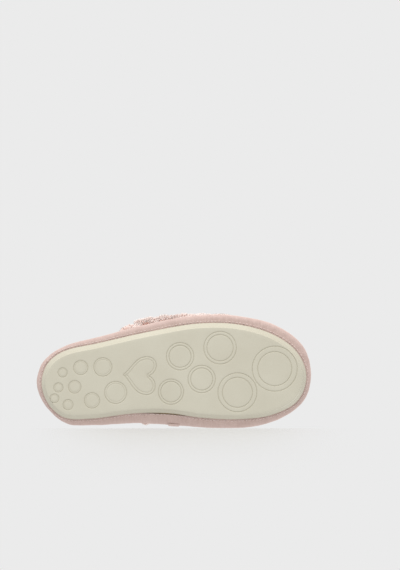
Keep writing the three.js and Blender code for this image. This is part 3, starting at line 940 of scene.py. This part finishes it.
vamp_low = Vector(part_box("vamp_plush")[0])
knot_low, knot_high = (Vector(corner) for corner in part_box("bow_knot"))
knot = (knot_low + knot_high) / 2
heart_of_vamp = vamp_low.z + 6 * MM  # the height that the vamp's faces look away from


def looks_out(place, normal):
    """Whether a face of the vamp is on its outside."""
    away = Vector((place.x, 0, place.z - heart_of_vamp))
    if place.y < -TOE_ROUND:
        away.y = place.y + TOE_ROUND
    return away.dot(normal) > 0 and normal.z > LOWEST_LOOK


def plush_skin():
    skin = copy_of("vamp_plush", "plush_backing")
    modify(skin, "SUBSURF", levels=1)
    shifted(skin, lambda place, normal: -SKIN_SINK + 0.5 * MM * fractal(place, 14 * MM))
    # with no along values the backing takes the root colour: painted shade seen in the gaps
    # between locks
    return piece(skin, FUR, "plush", "vamp_plush")


def zone_of(place):
    """Which of the six parts of the vamp a place is in."""
    behind = sum(place.y > vamp_low.y + end for end in ZONE_ENDS)
    return (1 if place.x > 0 else 0) + 2 * behind


def from_strip(place, side, ahead, half_width):
    """How far a place is from a strip that runs from the knot, as a share of its half width."""
    run = Vector((side, -ahead))
    spot = Vector((place[0] - knot.x, place[1] - knot.y))
    share = min(max(spot.dot(run) / run.length_squared, 0), 1)
    return (spot - run * share).length / half_width


def fur_cover(place):
    """The share of its length that the pile keeps: it is short at the edge and under the bow."""
    forward = 1.0 if place[0] > 0 else swell((WING_END - place[1]) / WING_CHANGE)
    rise = OUTER_RISE + (INNER_RISE - OUTER_RISE) * forward
    low = EDGE_PILE + (1 - EDGE_PILE) * swell((place[2] - tape_high.z) / rise)
    strips = []
    for side in (-1, 1):
        loop, tail = side * LOOP_REACH * LOOP_PRESSES, side * TAIL_SIDE * TAIL_PRESSES
        strips.append(from_strip(place, loop, 0, LOOP_HALF_WIDTH))
        strips.append(from_strip(place, tail, TAIL_AHEAD * TAIL_PRESSES, TAIL_HALF_WIDTH))
    stands = swell(min(strips) * PRESSED_RISE - PRESSED_START)
    return low * (PRESSED + (1 - PRESSED) * stands)


def vamp_fur(skin):
    """The vamp's pile, in zones that each stay small enough to export whole."""
    for zone in range(FUR_ZONES):
        fur = pile(
            f"vamp_fur_{zone + 1}", skin,
            lambda place, normal: looks_out(place, normal) and zone_of(place) == zone,
            FUR_LOCKS, FUR_CLUMPS, FUR_LENGTH, FUR_GIRTH,
            gather=0.2, lean=(0.0, -0.2, -0.1), spread=0.16, cover=fur_cover,
        )
        piece(fur, FUR, "plush")


def vamp_inside():
    lining = copy_of("vamp_lining", "vamp_fleece_lining")
    modify(lining, "SUBSURF", levels=2)
    shifted(lining, lambda place, normal: 0.3 * MM * fractal(place, 3 * MM))
    piece(lining, FLEECE, "fleece", "vamp_lining")


TRIM_LOCKS = 12_000
TRIM_CLUMPS = 420
TRIM_LENGTH = 4.8 * MM
TRIM_GIRTH = 0.45 * MM


def trim():
    """The plush roll round the throat and its curly pile."""
    core = copy_of("throat_trim", "throat_roll")
    modify(core, "SUBSURF", levels=1)
    # with no along values the core takes the root colour: painted shade seen in the gaps between
    # locks
    piece(core, SHORT_FUR, "plush", "throat_trim")
    fur = pile(
        "throat_roll_fur", core, lambda place, normal: True, TRIM_LOCKS, TRIM_CLUMPS,
        TRIM_LENGTH, TRIM_GIRTH, gather=0.4, lean=(0.0, 0.05, 0.1),
    )
    piece(fur, SHORT_FUR, "plush")


skin = plush_skin()
vamp_fur(skin)
vamp_inside()
trim()

# ---- Footbed ------------------------------------------------------------------------------
PAD_LOCKS = 12_400
PAD_CLUMPS = 1_800
PAD_LENGTH = 2.3 * MM
PAD_GIRTH = 0.42 * MM
PAD_CAP = 2.2 * MM
PAD_PRESSURE = 4.0
PAD_FRAMES = 20
PAD_MESH = 3 * MM
PAD_INSET = 6 * MM
PAD_POINTS = 120
PAD_ROWS = 9
PAD_CLOSES = 0.92  # how far its rows of points run from the edge to the spine
PAD_TOP = 0.2 * MM  # under the top of the CAD's sock
PAD_BOTTOM = 3 * MM
SPINE_ENDS = [-0.1, 0.1]
SPINE_SIDE = 3 * MM  # the toe end of the spine lies this far to the inner side
SPINE_LENGTH = 0.72  # of the edge's own
TAPE_LIP = 1 * MM  # the pile grows this far in under the tape's flange


def pad_sheet():
    """A thin closed pad under the tape's flange, its rows of points closing to the middle."""
    edge = smooth_loop(inset(footbed_loop, PAD_INSET), PAD_POINTS)
    aside = np.interp(edge[:, 1], SPINE_ENDS, [SPINE_SIDE, 0])
    spine = np.column_stack([aside, edge[:, 1] * SPINE_LENGTH])
    rows = [edge + (spine - edge) * share for share in np.linspace(0, PAD_CLOSES, PAD_ROWS)]
    levels = [with_height(row, sock_top - PAD_TOP) for row in reversed(rows)]
    levels += [with_height(row, sock_top - PAD_BOTTOM) for row in rows]
    points = np.vstack(levels)
    faces = ring_faces(len(levels), PAD_POINTS, False)
    faces.append(tuple(range(PAD_POINTS)))
    faces.append(tuple(reversed(range(len(points) - PAD_POINTS, len(points)))))
    pad = mesh_object("footbed_pad", points, faces)
    outward_faces(pad)
    return pad


def inflate(pad, pressure, cap):
    """Swells a closed form by cloth simulation, no point further than cap from its start."""
    start = [vertex.co.copy() for vertex in pad.data.vertices]
    cloth = pad.modifiers.new("cloth", "CLOTH")
    cloth.settings.quality = 4
    cloth.settings.use_pressure = True
    cloth.settings.uniform_pressure_force = pressure
    cloth.settings.effector_weights.gravity = 0
    cloth.point_cache.frame_start = 1
    cloth.point_cache.frame_end = PAD_FRAMES
    for step in range(1, PAD_FRAMES + 1):
        bpy.context.scene.frame_set(step)
    apply_modifiers(pad)
    bpy.context.scene.frame_set(1)
    for vertex, place in zip(pad.data.vertices, start):
        moved = vertex.co - place
        if moved.length > cap:
            vertex.co = place + moved.normalized() * cap
    pad.data.update()


def footbed():
    """The padded sock that the foot stands on, with its short pile."""
    pad = pad_sheet()
    modify(pad, "REMESH", mode="VOXEL", voxel_size=PAD_MESH, use_smooth_shade=True)
    inflate(pad, PAD_PRESSURE, PAD_CAP)
    modify(pad, "SUBSURF", levels=1)
    shifted(pad, lambda place, normal: MM * (0.35 * fractal(place, 9 * MM) - 0.2))
    piece(pad, FLEECE, "fleece", "footbed_sock")
    open_loop = [Vector(p) for p in inset(footbed_loop, TAPE_FLANGE - TAPE_LIP)]
    fleece = pile(
        "footbed_pile", pad,
        lambda place, normal: normal.z > 0.5 and inside_loop((place.x, place.y), open_loop),
        PAD_LOCKS, PAD_CLUMPS, PAD_LENGTH, PAD_GIRTH,
        gather=0.2, lean=(0.1, 0.0, 0.0), spread=0.9,
    )
    piece(fleece, SOCK_PILE, "fleece")


footbed()

# ---- Bow ----------------------------------------------------------------------------------
BOW_FABRIC = 1.0 * MM
BOW_LIFT = 3.0 * MM  # the bow lies on the tips of the pile
SKY = 0.2  # a height over the whole slipper
LOOP_ROOT = 4.6 * MM  # half the width of a loop at the knot
LOOP_START = 3.5 * MM  # from the knot's middle
LOOP_CORNER = 2.6 * MM  # how far a loop's corners reach past the middle of its end
LOOP_BACK = 1.5 * MM  # a loop's end lies this far behind the knot
KNOT_WIDE, KNOT_LONG, KNOT_TALL = 6.6 * MM, 8.2 * MM, 5.4 * MM  # from its middle
KNOT_LIFT = 6.6 * MM
TAIL_ROOT = 3.4 * MM  # half the width of a tail at the knot
TAIL_SLANT = 5.5 * MM  # of its cut end
TAIL_BEND = 4 * MM
# Heights of the fabric, in millimetres.
LOOP_LIE, LOOP_RISE = 2.2, 3.4  # of a loop at the knot, and how much more at its end
LOOP_THIN, LOOP_PUFF = 2.4, 8.6  # between its layers at the knot, and how much more further out
PLEAT, CREASE, LOOSE = 1.3, 1.1, 1.3
TAIL_LIE, TAIL_WAVE, TAIL_CURL, TAIL_FOLD = 1.3, 1.3, 1.8, 0.9
KNOT_PLEAT = 0.055  # as a share of the knot's size

vamp_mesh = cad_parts["vamp_plush"].data
vamp_tree = BVHTree.FromPolygons(
    [vertex.co for vertex in vamp_mesh.vertices], [face.vertices for face in vamp_mesh.polygons]
)


def on_vamp(x, y, height):
    """A point at a height over the pile, out from the vamp's surface above (x, y)."""
    place, normal, _, _ = vamp_tree.ray_cast(Vector((x, y, SKY)), Vector((0, 0, -1)))
    soft = Vector((normal.x * 0.8, normal.y * 0.8, max(normal.z, 0.3))).normalized()
    return place + soft * (height + BOW_LIFT)


def fabric_grid(name, place, rows, columns):
    """A strip of fabric through place(u, v), given its thickness and soft edges."""
    points = [place(u, v) for u in np.linspace(0, 1, rows) for v in np.linspace(-1, 1, columns)]
    faces = [
        (r * columns + c, r * columns + c + 1, (r + 1) * columns + c + 1, (r + 1) * columns + c)
        for r in range(rows - 1)
        for c in range(columns - 1)
    ]
    strip = mesh_object(name, points, faces)
    outward_faces(strip)
    modify(strip, "SOLIDIFY", thickness=BOW_FABRIC, offset=0)
    modify(strip, "BEVEL", width=CUT_EDGE, segments=2, limit_method="ANGLE")
    modify(strip, "SUBSURF", levels=1)
    return strip


def bow_loop(side, name, seed):
    """A loop: the strip runs out from the knot low down, turns and comes back over itself."""
    def place(u, v):
        turn = math.pi * u
        reach = math.sin(turn) ** 0.8 if 0 < u < 1 else 0.0
        puff = LOOP_THIN + LOOP_PUFF * math.sin(math.pi * min(reach * 0.62 + 0.03, 1))
        height = LOOP_LIE + puff / 2 + LOOP_RISE * reach**2 - puff / 2 * math.cos(turn)
        pleat = math.cos(v * 2.4 * math.pi + seed) * (1 - reach) ** 1.3 * PLEAT
        crease = CREASE * math.exp(-(((v - 0.25 * reach) / 0.12) ** 2)) * (1 - reach * 0.6)
        height += pleat * (1 if u > 0.5 else -0.4) - crease * (1 if u > 0.5 else 0)
        half = LOOP_ROOT + (LOOP_HALF_WIDTH - LOOP_ROOT) * swell(reach * 1.12)
        out = LOOP_START + (LOOP_REACH - LOOP_START) * reach * 0.9 + LOOP_CORNER * reach * v * v
        loose = fractal((out, half * v, turn * MM * 9), 13 * MM, 2, seed) * LOOSE * reach
        return on_vamp(
            knot.x + side * out, knot.y + half * v + LOOP_BACK * reach, (height + loose) * MM
        )

    loop = fabric_grid(name, place, 46, 19)
    node = "bow_loop_inner" if side > 0 else "bow_loop_outer"
    return piece(loop, BOW, "bow_suede", node)


def bow_tail(side, name, seed):
    """A tail: the strip widens from the knot to a slanting end and follows the vamp."""
    length = math.hypot(TAIL_SIDE, TAIL_AHEAD)
    ahead = Vector((side * TAIL_SIDE / length, -TAIL_AHEAD / length))
    across = Vector((-ahead.y, ahead.x)) * side

    def place(u, v):
        half = TAIL_ROOT + (TAIL_HALF_WIDTH - TAIL_ROOT) * swell(u * 1.5)
        tip = u * length + v * TAIL_SLANT * swell((u - 0.6) / 0.4)
        narrow = 1 - 0.75 * swell((u - 0.72) / 0.28)
        bend = side * TAIL_BEND * math.sin(math.pi * u)
        spot = Vector((knot.x, knot.y)) + ahead * tip + across * (half * v * narrow + bend * side)
        wave = TAIL_WAVE * math.sin(u * 5.2 + v * 0.9 + seed) * swell(u * 2)
        curl = TAIL_CURL * v * v * swell(u * 1.4)
        fold = TAIL_FOLD * math.cos(v * 2.1 * math.pi) * (1 - u) ** 2
        return on_vamp(spot.x, spot.y, (TAIL_LIE + wave + curl + fold) * MM)

    tail = fabric_grid(name, place, 34, 13)
    node = "bow_tail_inner" if side > 0 else "bow_tail_outer"
    return piece(tail, BOW, "bow_suede", node)


def bow_knot():
    """The short strip wrapped round the loops' middle, pinched into pleats across the foot."""
    rows, columns = 28, 25
    centre = on_vamp(knot.x, knot.y, KNOT_LIFT)
    behind, ahead = (on_vamp(knot.x, knot.y + away, 0) for away in (4 * MM, -4 * MM))
    slope = math.atan2(behind.z - ahead.z, 8 * MM)
    tilt = Matrix.Rotation(slope, 3, "X")
    points = []
    for v in np.linspace(-1, 1, columns):
        narrow = 1 - 0.16 * abs(v) ** 3
        for u in np.linspace(0, 2 * math.pi, rows, endpoint=False):
            pleat = 1 + KNOT_PLEAT * math.sin(v * 10.5 + 0.5 * math.sin(u)) * (1 - abs(v) ** 4)
            x = KNOT_WIDE * narrow * pleat * math.copysign(abs(math.cos(u)) ** 0.75, math.cos(u))
            z = KNOT_TALL * narrow * pleat * math.copysign(abs(math.sin(u)) ** 0.8, math.sin(u))
            points.append(centre + tilt @ Vector((x, v * KNOT_LONG, z)))
    faces = ring_faces(columns, rows, False)
    faces.append(tuple(reversed(range(rows))))
    faces.append(tuple(range(len(points) - rows, len(points))))
    wrap = mesh_object("bow_knot_wrap", points, faces)
    outward_faces(wrap)
    modify(wrap, "BEVEL", width=0.9 * MM, segments=3, limit_method="ANGLE", angle_limit=1.0)
    modify(wrap, "SUBSURF", levels=1)
    shifted(wrap, lambda place, normal: 0.25 * MM * fractal(place, 5 * MM))
    return piece(wrap, BOW, "bow_suede", "bow_knot")


bow_tail(1, "bow_tail_inner_strip", 0.4)
bow_tail(-1, "bow_tail_outer_strip", 2.1)
bow_loop(1, "bow_loop_inner_fold", 0.3)
bow_loop(-1, "bow_loop_outer_fold", 1.9)
bow_knot()

# ---- Layers that stay as they are ---------------------------------------------------------
for node, material in {
    "insole_board": BOARD, "midsole_foam": FOAM, "comfort_foam": FOAM, "vamp_interlining": FOAM,
}.items():
    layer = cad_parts[node]
    for place in layer.material_slots:
        place.material = material

# ---- Stage --------------------------------------------------------------------------------
BACKGROUND = linear(235, 235, 235)[0]
FLOOR_TILT = math.radians(15)
FLOOR_SIZE = 3.2
FLOOR_DROP = 0.2 * MM
FLOOR_SHARES = 61
SIDE_WIDTH = 1.2
SIDE_REACH = 0.16
SIDE_DROP = 1 * MM
SIDE_LIFT = 1.1 * MM  # the side floor starts this far over the edge's lowest point
SIDE_ROWS = ((0, 0.7), (0.05, 1), (0.4, 0.75), (1, 0))
SIDE_BODY, SIDE_FADE = 0.14, 0.1  # of the part that shows and its fading, as shares of the width
FADE_SHIFT = 0.03  # of the faded floor's middle towards the heel, as a share of its width
SOLE_TURN = math.radians(4)  # the toe points this far above level in the picture
PICTURE_RIGHT = Vector((math.sin(SOLE_TURN), -math.cos(SOLE_TURN), 0))
PICTURE_UP = Vector((-math.cos(SOLE_TURN), -math.sin(SOLE_TURN), 0))


def floor_material():
    """A white floor that only its upper side shows. The studio's even light alone falls on it,
    so it has the background's own tone wherever the slipper doesn't shade it."""
    material = bpy.data.materials.new("pale_floor")
    material.use_nodes = True
    tree = material.node_tree
    tree.nodes.remove(tree.nodes["Principled BSDF"])
    white, clear, behind, faded, either, mixed = (
        tree.nodes.new("ShaderNode" + kind)
        for kind in ("BsdfDiffuse", "BsdfTransparent", "NewGeometry", "Attribute", "Math",
                     "MixShader")
    )
    white.inputs["Color"].default_value = (1, 1, 1, 1)
    faded.attribute_name = "faded"
    either.operation = "MAXIMUM"
    link = tree.links.new
    link(behind.outputs["Backfacing"], either.inputs[0])
    link(faded.outputs["Fac"], either.inputs[1])
    link(either.outputs["Value"], mixed.inputs["Fac"])
    link(white.outputs["BSDF"], mixed.inputs[1])
    link(clear.outputs["BSDF"], mixed.inputs[2])
    link(mixed.outputs["Shader"], tree.nodes["Material Output"].inputs["Surface"])
    return material


FLOOR = floor_material()


def floor(name, start, across, ahead, rows=((0, 1), (1, 1)), body=lambda share: 1.0):
    """A flat floor from start, along across and ahead. Each row has its share of the way ahead
    and how solid it is there; body(share) is how solid the floor is at a share of its width."""
    shares = np.linspace(0, 1, FLOOR_SHARES)
    columns = len(shares)
    points = [start + across * share + ahead * way for way, _ in rows for share in shares]
    faces = [
        (low + k, low + k + 1, low + columns + k + 1, low + columns + k)
        for low in range(0, (len(rows) - 1) * columns, columns)
        for k in range(columns - 1)
    ]
    plane = mesh_object(name, [tuple(point) for point in points], faces, smooth=False)
    clear = [1 - solid * body(share) for _, solid in rows for share in shares]
    point_values(plane.data, "faded", clear)
    plane.data.materials.append(FLOOR)
    for ray in ("shadow", "diffuse", "glossy", "transmission"):
        setattr(plane, f"visible_{ray}", False)
    plane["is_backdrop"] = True
    return plane


def stage():
    """The floor under the standing slipper, and the one its inner edge lies on in the picture
    of its sole. Each shows from its upper side only, so neither hides the other's view."""
    across, ahead = Vector((FLOOR_SIZE, 0, 0)), Vector((0, FLOOR_SIZE, 0))
    floor("floor", (across + ahead) * -0.5 - Vector((0, 0, FLOOR_DROP)), across, ahead)
    lowest = min(footbed_loop, key=lambda p: PICTURE_UP.x * p[0] + PICTURE_UP.y * p[1])
    edge = Vector((*lowest, -SIDE_DROP)) + PICTURE_UP * SIDE_LIFT
    down = -PICTURE_UP * math.sin(FLOOR_TILT) - Vector((0, 0, 1)) * math.cos(FLOOR_TILT)
    floor(
        "side_floor", edge + PICTURE_RIGHT * (SIDE_WIDTH / 2), PICTURE_RIGHT * -SIDE_WIDTH,
        down * SIDE_REACH, SIDE_ROWS,
        lambda share: swell((SIDE_BODY - abs(share - 0.5 - FADE_SHIFT)) / SIDE_FADE),
    )


LAMP_COLOUR = (1.0, 0.985, 0.965)


def lights():
    """An even studio all round, and three soft lamps that light the slipper alone."""
    lit = bpy.data.collections.new("lit")
    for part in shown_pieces():
        lit.objects.link(part)
    world = bpy.data.worlds.new("studio")
    world.use_nodes = True
    background = world.node_tree.nodes["Background"]
    background.inputs["Color"].default_value = (BACKGROUND, BACKGROUND, BACKGROUND, 1)
    bpy.context.scene.world = world
    for name, place, size, power in (
        ("key_above", (-0.7, -0.5, 1.3), 0.9, 12.0),
        ("fill_above", (0.9, -0.8, 0.8), 1.0, 6.0),
        ("key_below", (-1.45, 0.0, -0.45), 0.9, 12.0),
    ):
        lamp = bpy.data.lights.new(name, "AREA")
        lamp.energy = power
        lamp.size = size
        lamp.color = LAMP_COLOUR
        holder = placed(name, lamp)
        holder.location = place
        holder.rotation_euler = (-Vector(place)).to_track_quat("-Z", "Y").to_euler()
        holder.light_linking.receiver_collection = lit


VIEW_TALL = 0.542  # what the picture's height spans at the sole
VIEW_DISTANCE = 1.8
SENSOR = 36.0  # millimetres, as the lens is
SHIFT_RIGHT = 0.0252  # of the picture's middle from the slipper's
SHIFT_UP = 0.0859


def camera():
    """Looks straight at the sole from below, with the toe to the right."""
    low, high = (Vector(corner) for corner in CAD_BOX)
    middle = (low + high) / 2
    back = PICTURE_RIGHT.cross(PICTURE_UP)
    aim = Vector((middle.x, middle.y, 0))
    aim += PICTURE_RIGHT * SHIFT_RIGHT + PICTURE_UP * SHIFT_UP
    lens = bpy.data.cameras.new("camera")
    lens.lens = SENSOR * VIEW_DISTANCE / VIEW_TALL
    lens.sensor_width = SENSOR
    holder = placed("camera", lens)
    turned = Matrix((PICTURE_RIGHT, PICTURE_UP, back)).transposed().to_4x4()
    turned.translation = aim + back * VIEW_DISTANCE
    holder.matrix_world = turned
    bpy.context.scene.camera = holder


stage()
lights()
camera()
bpy.context.scene.view_settings.view_transform = "Standard"
bpy.context.scene.cycles.diffuse_bounces = 10  # light passes many times between the pile's locks
